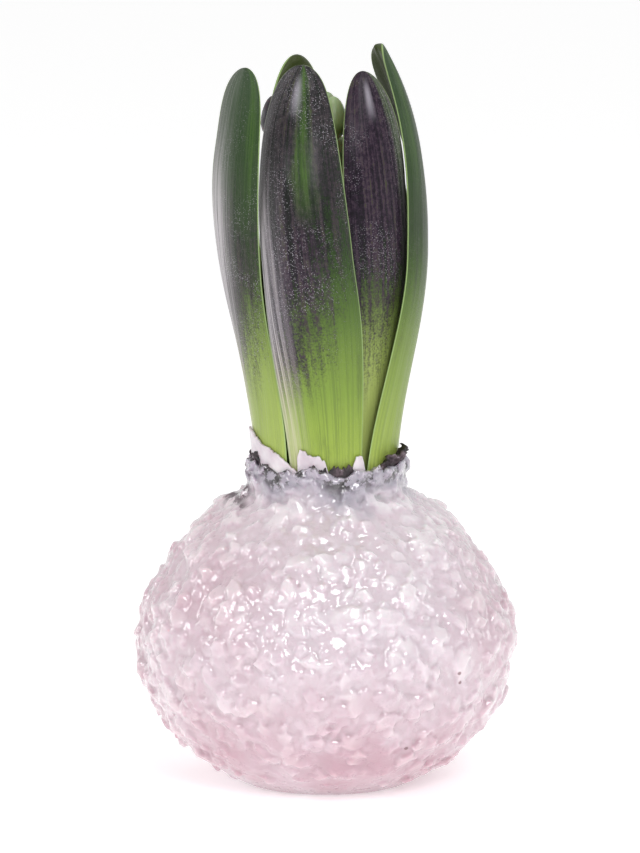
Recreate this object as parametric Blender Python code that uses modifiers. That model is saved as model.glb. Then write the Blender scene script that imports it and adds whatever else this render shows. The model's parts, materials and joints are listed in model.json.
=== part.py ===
"""A hyacinth bulb dipped in lumpy wax, with six fleshy leaves round a closed flower spike.

Metres, +Z up. The part stands on the flat under the wax, and the origin is the middle of that side
of its bounding box. -Y is the front. Run with: blender --background --python part.py
"""

import math
from dataclasses import dataclass

import bmesh
import bpy
from mathutils import Vector, noise

MM = 0.001
GAP = 0.35 * MM

# Driving dimensions
WAX_RADIUS = 34.3 * MM  # widest part of the dipped bulb, before its lumps
WAX_WALL = 4.0 * MM
WIDEST_AT = 25.5 * MM  # height of the widest part
BOWL_DOWN = 28.6 * MM  # half axes of the two half ellipses that the dipped body follows
BOWL_UP = 30.0 * MM
UPPER_POWER = 1.8  # below 2 the upper slope is straighter than an ellipse
NECK_RADIUS = 14.6 * MM  # of the wax where the leaves come out
NECK_BLEND = 3.0 * MM
RIM_AT = 58.4 * MM
LUMP_HEIGHT = 1.0 * MM
LUMP_SIZE = 8.0 * MM
FOOT_RADIUS = 7.5 * MM  # inner ring of the flat underside
WAX_STEPS = 36  # round the body, and round the bulb in it, so that their facets face each other
WAX_ROWS = 17  # from its foot to its rim
BULB_ROWS = 11

BULB_TOP = 50.0 * MM  # flat top that the leaves grow from
BULB_UP = 28.5 * MM
BULB_DOWN = 23.1 * MM

LEAF_THICKNESS = 1.7 * MM
LEAF_EDGE_SHARE = 0.35  # margin's thickness as a share of the midrib's
SPLAY_FROM = 54.0 * MM  # height where the leaves start to lean out of the neck
WIDEST_LEAF_AT = 95.0 * MM
ROWS_BELOW, ROWS_ABOVE, LEAF_COLUMNS = 5, 8, 6

TUNIC_RADIUS = 13.45 * MM  # outside of the dry skins between the leaves and the wax
TUNIC_SKIN = 0.5 * MM
TUNIC_LEANS_FROM = 59.6 * MM  # clear of the wax's rim
TUNIC_COLUMNS, TUNIC_ROWS = 8, 4

STALK_RADIUS = 2.3 * MM
STALK_TAPER = 0.7  # its radius at the top as a share of that at the foot
STALK_TOP = 113.3 * MM
SPIKE_LEAN = Vector((-3.9 * MM, 0.6 * MM, 0.0))  # how far the stalk's top stands from the neck's axis
FLORET_TIERS = 6
FLORETS_A_TIER = 5
FIRST_TIER_AT = 74.5 * MM
TIER_STEP = 7.6 * MM
FIRST_AZIMUTH = 10  # degrees, of each tier's first floret, before the tiers' half steps
FLORET_LENGTH = 11.6 * MM
FLORET_RADIUS = 2.5 * MM
FLORET_REACH = 3.6 * MM  # how far a floret's upright part stands out from its foot
FLORET_BEND = 0.55  # share of its length over which it turns upright
FLORET_STEM = 0.26  # its foot's radius as a share of the bud's
SWELL_FROM, SWELL_TO = 0.1, 0.55  # shares of its length between which the stem swells to the bud
FLUTE_DEPTH = 0.06
FLORET_GAP = 0.4 * MM

COLOURS = {
    "wax": ((0.76, 0.64, 0.71), 0.35),
    "bulb": ((0.72, 0.62, 0.55), 0.60),
    "dry_skin": ((0.10, 0.07, 0.08), 0.75),
    "leaf": ((0.10, 0.22, 0.04), 0.40),
    "stalk": ((0.35, 0.48, 0.16), 0.45),
    "floret": ((0.10, 0.12, 0.09), 0.50),
}


@dataclass
class Leaf:
    """One leaf's law. Angles are in degrees, counter-clockwise from +X seen from above, lengths in mm."""

    name: str
    azimuth: float  # of the midrib at the neck
    tip_azimuth: float
    neck_radius: float  # of the midrib's outer face, from the neck's axis
    belly_radius: float
    belly_at: float
    tip_radius: float
    tip_at: float
    neck_half: float  # half the width, over the curve
    belly_half: float
    channel: float  # radius of the cross-section at the belly
    tip_turn: float  # how far the face turns on its own midrib from belly to tip
    hood: float  # how much tighter the cross-section curls towards the tip
    bluntness: float  # above 2 the tip is blunter than an ellipse


LEAVES = [
    Leaf("leaf_front", 271, 249, 12.2, 22.7, 99, 12.0, 130.8, 6.3, 10.4, 8.9, 0, 0.3, 2.3),
    Leaf("leaf_left", 193, 229.5, 12.6, 22.5, 116, 22.1, 131.0, 9.0, 6.7, 17.5, 26, 0.3, 2.4),
    Leaf("leaf_right", 346.4, 356, 12.6, 18.2, 97, 9.8, 133.4, 9.3, 8.1, 13.8, 26, 0.8, 4.9),
    Leaf("leaf_right_inner", 327, 300.3, 10.4, 16.3, 100, 12.7, 129.7, 4.6, 7.5, 11.6, -25, 0.3, 1.9),
    Leaf("leaf_back_left", 122, 119, 12.6, 14.8, 98, 11.3, 130.2, 5.7, 8.8, 9.5, 0, 0.3, 2.3),
    Leaf("leaf_back_right", 62, 46, 12.6, 18.0, 96, 11.0, 119.0, 6.2, 8.8, 9.5, 0, 0.3, 2.3),
]

# Dry skins: name, first and last azimuth, height at the middle, how far the top leans out (degrees and mm)
TUNICS = [
    ("tunic_left", 170, 230, 60.5, 0.3),
    ("tunic_front", 243, 297, 59.8, 0.4),
    ("tunic_right", 322, 378, 63.5, 1.6),
    ("tunic_back", 60, 130, 61.0, 0.6),
]


def smooth(x):
    """0 to 1 with level ends."""
    x = min(1.0, max(0.0, x))
    return x * x * (3 - 2 * x)


def mix(a, b, share):
    return a + (b - a) * share


def smooth_max(a, b, blend):
    """The larger of two lengths, with a fillet where they cross."""
    overlap = max(blend - abs(a - b), 0.0) / blend
    return max(a, b) + overlap * overlap * blend / 4


def around(azimuth, radius, height):
    """The point at an azimuth in degrees."""
    angle = math.radians(azimuth)
    return Vector((radius * math.cos(angle), radius * math.sin(angle), height))


def material(kind):
    """The named Principled material, made once."""
    found = bpy.data.materials.get(kind)
    if found:
        return found
    colour, roughness = COLOURS[kind]
    made = bpy.data.materials.new(kind)
    made.use_nodes = True
    shader = made.node_tree.nodes["Principled BSDF"]
    shader.inputs["Base Color"].default_value = (*colour, 1.0)
    shader.inputs["Roughness"].default_value = roughness
    shader.inputs["Metallic"].default_value = 0.0
    return made


def add_object(name, data, kind, collection):
    """Links a mesh or a curve under a node's name, with its material."""
    made = bpy.data.objects.new(name, data)
    if not data.materials:
        data.materials.append(material(kind))
    collection.objects.link(made)
    return made


def apply_modifiers(obj):
    """Keeps what the object's modifiers make as its own smooth mesh."""
    bpy.context.view_layer.update()
    evaluated = obj.evaluated_get(bpy.context.evaluated_depsgraph_get())
    made = bpy.data.meshes.new_from_object(evaluated)
    obj.modifiers.clear()
    obj.data = made
    made.shade_smooth()


def turned(name, profile, steps, kind, collection):
    """A solid turned about Z from (radius, height) points, top to bottom down its outer side."""
    mesh = bpy.data.meshes.new(name)
    points = [(radius, 0.0, height) for radius, height in profile]
    mesh.from_pydata(points, [(i, i + 1) for i in range(len(points) - 1)], [])
    obj = add_object(name, mesh, kind, collection)
    screw = obj.modifiers.new("turn", "SCREW")
    screw.steps = screw.render_steps = steps
    screw.use_merge_vertices = True
    screw.merge_threshold = 0.00005
    apply_modifiers(obj)
    return obj


def bowl_radius(height, radius, down, up):
    """Radius of the onion-shaped body: half an ellipse below its widest part, a straighter one above."""
    if height <= WIDEST_AT:
        return radius * math.sqrt(1 - ((WIDEST_AT - height) / down) ** 2)
    share = min(1.0, (height - WIDEST_AT) / up)
    return radius * (1 - share**UPPER_POWER) ** (1 / UPPER_POWER)


def wax_radius(height):
    return smooth_max(bowl_radius(height, WAX_RADIUS, BOWL_DOWN, BOWL_UP), NECK_RADIUS, NECK_BLEND)


def bulb_outline(grown):
    """(radius, height) of the bulb from its top edge down to its basal plate, grown by a length."""
    bottom = WAX_WALL + GAP - grown
    radius = WAX_RADIUS - WAX_WALL - GAP + grown
    points = []
    for i in range(BULB_ROWS + 1):
        height = mix(BULB_TOP, bottom, (1 - math.cos(math.pi * i / BULB_ROWS)) / 2)
        points.append((bowl_radius(height, radius, BULB_DOWN + grown, BULB_UP + grown), height))
    return points


def rim_rise(azimuth):
    """How far tongues of the wax's torn rim climb the leaves: a tall one at the left, low ones elsewhere."""
    tongues = ((203, 25, 4.6), (258, 9, 1.3), (290, 7, 1.2), (20, 16, 1.0), (110, 28, 1.4))
    rise = 0.0
    for centre, half_width, height in tongues:
        off = (azimuth - centre + 180) % 360 - 180
        rise = max(rise, height * smooth(1 - abs(off) / half_width))
    return rise * MM


def lump(at):
    """How far the wax stands out at a point: soft lumps that die out at the foot and the rim."""
    fade = smooth((at.z - 1.0 * MM) / (7 * MM)) * smooth((RIM_AT - at.z) / (8 * MM))
    coarse = noise.noise(at / LUMP_SIZE)
    fine = noise.noise(at * 2.2 / LUMP_SIZE + Vector((7.0, 3.0, 5.0)))
    return (coarse * 0.65 + fine * 0.35) * 2 * LUMP_HEIGHT * fade


def wax_coating(collection):
    """The dipped wax: a lumpy shell, flat underneath, open at the neck."""
    inner_neck = TUNIC_RADIUS + GAP
    outer = []
    for i in range(WAX_ROWS + 1):
        height = mix(RIM_AT, 0.0, (1 - math.cos(math.pi * i / WAX_ROWS)) / 2)
        outer.append((wax_radius(height), height))
    inner = [(inner_neck, RIM_AT), *bulb_outline(GAP)]
    floor = [(FOOT_RADIUS, 0.0), (0.0, 0.0)]
    profile = [(0.0, inner[-1][1]), *reversed(inner), *outer, *floor]
    obj = turned("wax_coating", profile, WAX_STEPS, "wax", collection)
    moved = []
    for vertex in obj.data.vertices:
        at = vertex.co.copy()
        if at.z > RIM_AT - 0.01 * MM:
            at.z += rim_rise(math.degrees(math.atan2(at.y, at.x)))
        elif math.hypot(at.x, at.y) > wax_radius(at.z) - 0.1 * MM and at.z > 0.01 * MM:
            at += vertex.normal * lump(at)
        moved.append(at)
    for vertex, at in zip(obj.data.vertices, moved):
        vertex.co = at
    return obj


def bulb(collection):
    """The bulb inside the wax, with its flat top that the leaves and the stalk stand on."""
    profile = [(0.0, BULB_TOP), *bulb_outline(0.0), (0.0, WAX_WALL + GAP)]
    return turned("bulb", profile, WAX_STEPS, "bulb", collection)


def sheet(name, columns, rows, place, thickness, edge_share, kind, collection):
    """A solid from a grid whose (across, along) shares, -1 to 1 and 0 to 1, are placed by a law."""
    work = bmesh.new()
    bmesh.ops.create_grid(work, x_segments=columns, y_segments=rows, size=1.0)
    layer = work.verts.layers.deform.verify()
    for vertex in work.verts:
        across, along = vertex.co.x, (vertex.co.y + 1) / 2
        vertex[layer][0] = mix(1.0, edge_share, abs(across) ** 2.5)
        vertex.co = place(across, along)
    mesh = bpy.data.meshes.new(name)
    work.to_mesh(mesh)
    work.free()
    obj = add_object(name, mesh, kind, collection)
    obj.vertex_groups.new(name="thickness")
    wall = obj.modifiers.new("thickness", "SOLIDIFY")
    wall.thickness = thickness
    wall.offset = -1.0
    wall.vertex_group = "thickness"
    wall.thickness_vertex_group = 0.0
    apply_modifiers(obj)
    return obj


def leaf_point(leaf, across, along):
    """A point of the leaf's outer face. The rows crowd towards the blunt, hooded tip."""
    root = BULB_TOP + GAP
    tip = leaf.tip_at * MM
    split = ROWS_BELOW / (ROWS_BELOW + ROWS_ABOVE)
    if along < split:
        height, narrowing = mix(root, WIDEST_LEAF_AT, along / split), 0.0
    else:
        narrowing = math.sin(math.radians(86) * (along - split) / (1 - split))
        height = mix(WIDEST_LEAF_AT, tip, narrowing)
    up = (height - SPLAY_FROM) / (leaf.belly_at * MM - SPLAY_FROM)
    over = max(0.0, height - leaf.belly_at * MM) / (tip - leaf.belly_at * MM)
    radius = mix(leaf.neck_radius, leaf.belly_radius, smooth(up))
    radius -= (leaf.belly_radius - leaf.tip_radius) * over**2.6
    widening = smooth((height - SPLAY_FROM) / (WIDEST_LEAF_AT - SPLAY_FROM))
    half = mix(leaf.neck_half, leaf.belly_half, widening) * math.sqrt(1 - narrowing**leaf.bluntness)
    channel = mix(leaf.neck_radius, leaf.channel, smooth(up)) * (1 - leaf.hood * over**2)
    azimuth = mix(leaf.azimuth, leaf.tip_azimuth, max(0.0, height - SPLAY_FROM) / (tip - SPLAY_FROM))
    bend = across * half / channel
    facing = around(azimuth + leaf.tip_turn * over**2, 1.0, 0.0)
    sideways = Vector((-facing.y, facing.x, 0.0))
    midrib = around(azimuth, radius, 0.0)
    curl = sideways * math.sin(bend) - facing * (1 - math.cos(bend))
    return (midrib + curl * channel) * MM + Vector((0, 0, height))


def leaf(law, collection):
    sheet(
        law.name,
        LEAF_COLUMNS,
        ROWS_BELOW + ROWS_ABOVE,
        lambda across, along: leaf_point(law, across, along),
        LEAF_THICKNESS,
        LEAF_EDGE_SHARE,
        "leaf",
        collection,
    )


def tunic(name, first, last, top, lean, collection):
    """A dry skin between the leaves and the wax, with a torn top that leans out over the rim."""

    def place(across, along):
        azimuth = mix(first, last, (across + 1) / 2)
        ragged = noise.noise(Vector((azimuth * 0.11, top, 0.0))) * 2.2 - abs(across) ** 3 * 1.6
        root = BULB_TOP + GAP
        height = mix(root, (top + ragged) * MM, along)
        out = lean * MM * smooth((height - TUNIC_LEANS_FROM) / (3 * MM))
        return around(azimuth, TUNIC_RADIUS + out, height)

    sheet(name, TUNIC_COLUMNS, TUNIC_ROWS, place, TUNIC_SKIN, 1.0, "dry_skin", collection)


def stalk_centre(height):
    """Centre of the leaning stalk at a height."""
    share = (height - BULB_TOP) / (STALK_TOP - BULB_TOP)
    return SPIKE_LEAN * share * share + Vector((0, 0, height))


def flower_stalk(collection):
    """The fleshy stalk, thinner towards the top of the spike."""
    curve = bpy.data.curves.new("flower_stalk", "CURVE")
    curve.dimensions = "3D"
    curve.bevel_depth = STALK_RADIUS
    curve.bevel_resolution = 2
    curve.use_fill_caps = True
    points = 8
    spline = curve.splines.new("POLY")
    spline.points.add(points - 1)
    for i, point in enumerate(spline.points):
        share = i / (points - 1)
        point.co = (*stalk_centre(mix(BULB_TOP + GAP, STALK_TOP, share)), 1.0)
        point.radius = mix(1.0, STALK_TAPER, share)
    add_object("flower_stalk", curve, "stalk", collection)


def floret_mesh(reach):
    """A closed bud on a short stem that leaves the stalk sideways and turns upright, blunt and three-sided."""
    work = bmesh.new()
    bmesh.ops.create_uvsphere(work, u_segments=9, v_segments=7, radius=1.0)
    for vertex in work.verts:
        share = (vertex.co.z + 1) / 2
        angle = math.atan2(vertex.co.y, vertex.co.x)
        belly = mix(FLORET_STEM, 1.0, smooth((share - SWELL_FROM) / (SWELL_TO - SWELL_FROM)))
        belly *= 1 + FLUTE_DEPTH * share * math.cos(3 * angle)
        out = reach * math.sin(min(1.0, share / FLORET_BEND) * math.pi / 2)
        vertex.co.x = vertex.co.x * FLORET_RADIUS * belly + out
        vertex.co.y *= FLORET_RADIUS * belly
        vertex.co.z = FLORET_LENGTH * share
    mesh = bpy.data.meshes.new("floret")
    work.to_mesh(mesh)
    work.free()
    mesh.shade_smooth()
    return mesh


def florets(collection):
    """Tiers of closed buds round the stalk, each tier half a step on from the last, and one on its end."""
    mesh = floret_mesh(FLORET_REACH)
    number = 1
    for tier in range(FLORET_TIERS):
        height = FIRST_TIER_AT + tier * TIER_STEP
        stalk = STALK_RADIUS * mix(1.0, STALK_TAPER, (height - BULB_TOP) / (STALK_TOP - BULB_TOP))
        for place in range(FLORETS_A_TIER):
            azimuth = FIRST_AZIMUTH + 360 / FLORETS_A_TIER * (place + tier / 2)
            obj = add_object(f"floret_{number:02d}", mesh, "floret", collection)
            obj.location = stalk_centre(height) + around(azimuth, stalk + FLORET_GAP, 0.0)
            obj.rotation_euler.z = math.radians(azimuth)
            number += 1
    obj = add_object(f"floret_{number:02d}", floret_mesh(0.0), "floret", collection)
    obj.location = stalk_centre(STALK_TOP + GAP)


def centre_on_origin(collection):
    """Hangs every piece from one empty that brings the middle of the object's box over the origin."""
    bpy.context.view_layer.update()
    graph = bpy.context.evaluated_depsgraph_get()
    corners = []
    for obj in collection.objects:
        mesh = obj.evaluated_get(graph).to_mesh()
        corners += [obj.matrix_world @ vertex.co for vertex in mesh.vertices]
        obj.evaluated_get(graph).to_mesh_clear()
    low = Vector([min(corner[axis] for corner in corners) for axis in range(3)])
    high = Vector([max(corner[axis] for corner in corners) for axis in range(3)])
    middle = bpy.data.objects.new("middle", None)
    middle.location = (-(low.x + high.x) / 2, -(low.y + high.y) / 2, -low.z)
    for obj in collection.objects:
        obj.parent = middle
    collection.objects.link(middle)


def main():
    for obj in list(bpy.data.objects):
        bpy.data.objects.remove(obj)
    collection = bpy.data.collections.new("waxed_hyacinth")
    bpy.context.scene.collection.children.link(collection)
    wax_coating(collection)
    bulb(collection)
    for law in LEAVES:
        leaf(law, collection)
    for skin in TUNICS:
        tunic(*skin, collection)
    flower_stalk(collection)
    florets(collection)
    centre_on_origin(collection)


main()
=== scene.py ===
"""Looks of a wax-dipped hyacinth bulb in leaf: flaked wax, dry skins, mottled leaves and a closed spike.

Metres, +Z up, -Y to the front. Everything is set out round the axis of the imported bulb.
"""

import json
import math
import random
from dataclasses import dataclass

import bmesh
import bpy
import numpy as np
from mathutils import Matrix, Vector, noise
from mathutils.bvhtree import BVHTree

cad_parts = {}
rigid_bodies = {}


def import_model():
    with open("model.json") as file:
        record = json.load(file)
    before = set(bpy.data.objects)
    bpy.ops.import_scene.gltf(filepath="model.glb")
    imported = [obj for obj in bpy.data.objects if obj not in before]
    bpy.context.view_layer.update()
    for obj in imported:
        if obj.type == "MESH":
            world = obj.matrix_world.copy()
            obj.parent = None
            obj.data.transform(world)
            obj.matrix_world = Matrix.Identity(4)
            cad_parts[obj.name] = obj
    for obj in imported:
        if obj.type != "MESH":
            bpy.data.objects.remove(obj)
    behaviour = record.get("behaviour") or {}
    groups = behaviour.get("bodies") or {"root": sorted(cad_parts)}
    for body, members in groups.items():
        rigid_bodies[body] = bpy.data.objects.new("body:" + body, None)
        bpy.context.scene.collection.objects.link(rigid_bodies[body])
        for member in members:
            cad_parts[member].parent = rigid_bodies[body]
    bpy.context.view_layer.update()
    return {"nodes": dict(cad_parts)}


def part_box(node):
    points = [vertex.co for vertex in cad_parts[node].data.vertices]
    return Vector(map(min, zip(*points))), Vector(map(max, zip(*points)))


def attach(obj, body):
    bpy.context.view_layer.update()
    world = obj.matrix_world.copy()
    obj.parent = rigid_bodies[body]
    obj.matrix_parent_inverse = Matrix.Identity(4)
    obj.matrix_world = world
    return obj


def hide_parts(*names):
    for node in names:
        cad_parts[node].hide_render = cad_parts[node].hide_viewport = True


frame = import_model()

MM = 0.001
BODY = "root"

BULB_LOW, BULB_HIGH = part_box("bulb")
AXIS = Vector(((BULB_LOW.x + BULB_HIGH.x) / 2, (BULB_LOW.y + BULB_HIGH.y) / 2, 0.0))
BULB_TOP = BULB_HIGH.z
GAP = 0.35 * MM

# Wax body
WAX_RADIUS = 33.9 * MM  # bed of the wax, under its flakes
WIDEST_AT = 25.5 * MM
BOWL_DOWN = 28.6 * MM
BOWL_UP = 30.0 * MM
UPPER_POWER = 1.8
NECK_RADIUS = 14.1 * MM
NECK_BLEND = 3.0 * MM
RIM_AT = 58.0 * MM
CAVITY_NECK = 13.0 * MM  # inside of the wax at the neck
BULB_DOWN = 23.1 * MM  # bulb below and above its widest, which is level with the wax's
BULB_UP = 28.5 * MM
LUMP_HEIGHT = 1.0 * MM
LUMP_SIZE = 8.0 * MM
FLAKE_SHAPES = 7
SUNK_SPACING = 1.8 * MM
CRISP_SPACING = 2.5 * MM
SUNK_TILT, CRISP_TILT = 0.22, 0.34
FOOT_BARE, FOOT_COVERED = 1.0 * MM, 14.0 * MM  # heights between which the flakes thin out
THROAT = 13.2 * MM  # no flakes nearer the axis
VOXEL = 0.34 * MM
MOST_TRIANGLES = 190000
NECK_CRUMBS_FROM = 49.0 * MM
NO_FLAKE = 0.42  # tone of bare wax

# Leaves
LEAF_THICKNESS = 1.7 * MM
SPLAY_FROM = 54.0 * MM
WIDEST_LEAF_AT = 95.0 * MM
LEAF_ROWS, LEAF_COLUMNS = 130, 34
LOWER_SHARE = 0.42  # share of the rows that lie below the widest height
TIP_SWEEP = 89.3
BELLY_POWER = 2.6  # how late a leaf leans in from its belly to its tip

# Neck
SKIN_RADIUS = 13.2 * MM
SKIN_THICKNESS = 0.4 * MM
FILM_FOOT = 56.5
FILM_RADIUS = 12.6 * MM
FILM_LIFT = 0.42 * MM
FILM_THICKNESS = 0.45 * MM

# Spike
STALK_RADIUS = 2.3 * MM
STALK_TAPER = 0.7
STALK_TOP = 113.3 * MM
SPIKE_LEAN = Vector((-3.9 * MM, 0.6 * MM, 0.0))
FLORET_TIERS = 6
FLORETS_A_TIER = 5
FIRST_TIER_AT = 74.5 * MM
TIER_STEP = 7.6 * MM
FIRST_AZIMUTH = 10
FLORET_LENGTH = 11.6 * MM
FLORET_RADIUS = 2.5 * MM
FLORET_REACH = 3.6 * MM
FLORET_BEND = 0.55
FLORET_STEM = 0.26
SWELL_FROM, SWELL_TO = 0.1, 0.55
FLORET_GAP = 0.4 * MM
GREEN_SIDE = 325  # azimuth of the greenest florets


@dataclass
class Leaf:
    """One leaf's law, as in the CAD: degrees counter-clockwise from +X seen from above, lengths in mm."""

    name: str
    azimuth: float
    tip_azimuth: float
    neck_radius: float
    belly_radius: float
    belly_at: float
    tip_radius: float
    tip_at: float
    neck_half: float
    belly_half: float
    channel: float
    tip_turn: float
    hood: float
    bluntness: float
    flush: float  # how purple-black its upper part is, 0 to 1
    flush_from: float  # share of its height where the purple sets in
    green_side: float  # how much greener one side is: 1 towards its last margin, -1 towards its first
    stripe: float  # place across, 0 to 1, of the green stripe near its tip
    stripe_strength: float
    bloom_and_sheen_side: float  # 0 or 1, the margin where the white bloom and its painted sheen are thickest
    bloom: float  # strength of the white powdery bloom, and of the painted sheen along its side
    green_top: float  # how far the green comes back near the tip
    foot_paleness_and_light: float  # how pale and yellow its lower half is: partly its own colour, partly painted light that brightens a foot lying in shade


LEAVES = [
    Leaf(
        *("leaf_front", 271, 249, 12.2, 22.7, 99, 12.0, 130.8, 6.7, 10.75, 8.9, 0, 0.3, 2.3),
        *(1.0, 0.38, 0.75, 0.60, 0.8, 0, 0.9, 0.15, 0.2),
    ),
    Leaf(
        *("leaf_left", 193, 229.5, 12.6, 22.5, 116, 22.1, 131.0, 9.2, 7.1, 17.5, 26, 0.3, 2.4),
        *(0.9, 0.28, 0.7, 0.85, 0.4, 0, 1.4, 0.75, 0.5),
    ),
    Leaf(
        *("leaf_right", 346.4, 356, 12.6, 18.2, 97, 9.8, 133.4, 9.3, 8.5, 13.8, 26, 0.8, 4.9),
        *(0.35, 0.45, -0.3, 0.2, 0.4, 1, 0.8, 0.6, 0.3),
    ),
    Leaf(
        *("leaf_right_inner", 327, 300.3, 10.4, 16.3, 100, 12.7, 129.7, 4.6, 8.1, 11.6, -25, 0.3, 1.9),
        *(1.0, 0.43, 0.2, 0.9, 0.4, 1, 0.6, 0.0, 0.8),
    ),
    Leaf(
        *("leaf_back_left", 122, 119, 12.6, 14.8, 98, 11.3, 130.2, 5.7, 8.8, 9.5, 0, 0.3, 2.3),
        *(0.8, 0.50, 0.3, 0.5, 0.8, 1, 0.6, 0.3, 0.3),
    ),
    Leaf(
        *("leaf_back_right", 62, 46, 12.6, 18.0, 96, 11.0, 119.0, 6.2, 8.8, 9.5, 0, 0.3, 2.3),
        *(0.8, 0.45, -0.2, 0.5, 0.6, 0, 0.6, 0.2, 0.3),
    ),
]


# ---------------------------------------------------------------- small tools


def smooth(x):
    """0 to 1 with level ends."""
    x = min(1.0, max(0.0, x))
    return x * x * (3 - 2 * x)


def mix(a, b, share):
    return a + (b - a) * share


def smooth_max(a, b, blend):
    """The larger of two lengths, with a fillet where they cross."""
    overlap = max(blend - abs(a - b), 0.0) / blend
    return max(a, b) + overlap * overlap * blend / 4


def around(azimuth, radius, height):
    """The point at an azimuth in degrees, a radius from the bulb's axis and a height."""
    angle = math.radians(azimuth)
    return AXIS + Vector((radius * math.cos(angle), radius * math.sin(angle), height))


def colour(red, green, blue):
    """A display colour, 0 to 255, as linear light."""
    shares = [c / 255 for c in (red, green, blue)]
    return tuple(((c + 0.055) / 1.055) ** 2.4 if c > 0.04 else c / 12.92 for c in shares) + (1.0,)


def new_object(name, mesh, finish=None):
    """Links a mesh under a name, smooth shaded, with its finish."""
    made = bpy.data.objects.new(name, mesh)
    bpy.context.scene.collection.objects.link(made)
    if finish:
        mesh.materials.clear()
        mesh.materials.append(finish)
    mesh.shade_smooth()
    return made


def applied(obj):
    """Makes the result of the object's modifiers its own plain mesh."""
    bpy.context.view_layer.update()
    graph = bpy.context.evaluated_depsgraph_get()
    result = obj.evaluated_get(graph)
    mesh = bpy.data.meshes.new_from_object(result, preserve_all_data_layers=True, depsgraph=graph)
    obj.modifiers.clear()
    obj.data = mesh
    mesh.shade_smooth()
    return obj


def loft(name, rings, uvs, finish):
    """A closed skin through rings of points; each end is closed to its ring's middle."""
    count = len(rings[0])
    points = [p for ring in rings for p in ring]
    faces = []
    for row in range(len(rings) - 1):
        for i in range(count):
            j = (i + 1) % count
            faces.append((row * count + i, row * count + j, (row + 1) * count + j, (row + 1) * count + i))
    uv = [c for ring in uvs for c in ring]
    for row, flip in ((0, True), (len(rings) - 1, False)):
        middle = len(points)
        points.append(sum(rings[row], Vector()) / count)
        uv.append((0.5, uvs[row][0][1]))
        for i in range(count):
            a, b = row * count + i, row * count + (i + 1) % count
            faces.append((middle, b, a) if flip else (middle, a, b))
    mesh = bpy.data.meshes.new(name)
    mesh.from_pydata(points, [], faces)
    layer = mesh.uv_layers.new(name="UVMap")
    corners = np.empty(len(mesh.loops), np.int32)
    mesh.loops.foreach_get("vertex_index", corners)
    layer.data.foreach_set("uv", np.array(uv, np.float32)[corners].ravel())
    work = bmesh.new()
    work.from_mesh(mesh)
    bmesh.ops.recalc_face_normals(work, faces=work.faces)
    work.to_mesh(mesh)
    work.free()
    return new_object(name, mesh, finish)


def put_on(piece, slot, *nodes):
    """The piece rides on the part's one body and stands for its CAD nodes; its slot is not used."""
    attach(piece, BODY)
    if nodes:
        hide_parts(*nodes)
    return piece


# ---------------------------------------------------------------- material nodes


def make(tree, kind, inputs=(), **settings):
    """Adds a node, sets its properties, and sets or links its inputs by name or number."""
    made = tree.nodes.new(kind)
    for key, value in settings.items():
        setattr(made, key, value)
    for key, value in dict(inputs).items():
        if isinstance(value, bpy.types.NodeSocket):
            tree.links.new(value, made.inputs[key])
        else:
            made.inputs[key].default_value = value
    return made


def maths(tree, operation, a, b=0.0, c=0.0):
    return make(tree, "ShaderNodeMath", {0: a, 1: b, 2: c}, operation=operation).outputs[0]


def times(tree, first, *others):
    """The product of two or more values."""
    for other in others:
        first = maths(tree, "MULTIPLY", first, other)
    return first


def swayed(tree, value, pattern, amount):
    """A value pushed up and down by a pattern that is centred on a half."""
    return maths(tree, "ADD", value, times(tree, maths(tree, "SUBTRACT", pattern, 0.5), amount))


def blend(tree, factor, a, b, mode="MIX"):
    made = make(tree, "ShaderNodeMix", {0: factor, 6: a, 7: b}, data_type="RGBA", blend_type=mode)
    return made.outputs[2]


def spread(tree, value, low, high, to_low=0.0, to_high=1.0):
    """Maps a value from one range to another, eased and clamped."""
    inputs = {0: value, 1: low, 2: high, 3: to_low, 4: to_high}
    return make(tree, "ShaderNodeMapRange", inputs, interpolation_type="SMOOTHSTEP").outputs[0]


def grain(tree, vector, scale, detail=3.0, rough=0.55):
    inputs = {"Vector": vector, "Scale": scale, "Detail": detail, "Roughness": rough}
    return make(tree, "ShaderNodeTexNoise", inputs).outputs[0]


def ramp(tree, factor, stops):
    made = make(tree, "ShaderNodeValToRGB", {0: factor})
    elements = made.color_ramp.elements
    while len(elements) < len(stops):
        elements.new(0.5)
    for element, (place, shade) in zip(elements, stops):
        element.position = place
        element.color = shade
    return made.outputs[0]


def finish_of(name):
    """A new material with its Principled shader, tree and Object coordinates."""
    made = bpy.data.materials.new(name)
    made.use_nodes = True
    tree = made.node_tree
    shader = tree.nodes["Principled BSDF"]
    place = make(tree, "ShaderNodeTexCoord").outputs["Object"]
    return made, tree, shader, place


def set_sockets(shader, values):
    for key, value in values.items():
        shader.inputs[key].default_value = value


def add_bump(tree, shader, height, strength, distance):
    bump = make(tree, "ShaderNodeBump", {"Height": height, "Strength": strength, "Distance": distance})
    tree.links.new(bump.outputs[0], shader.inputs["Normal"])


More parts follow.
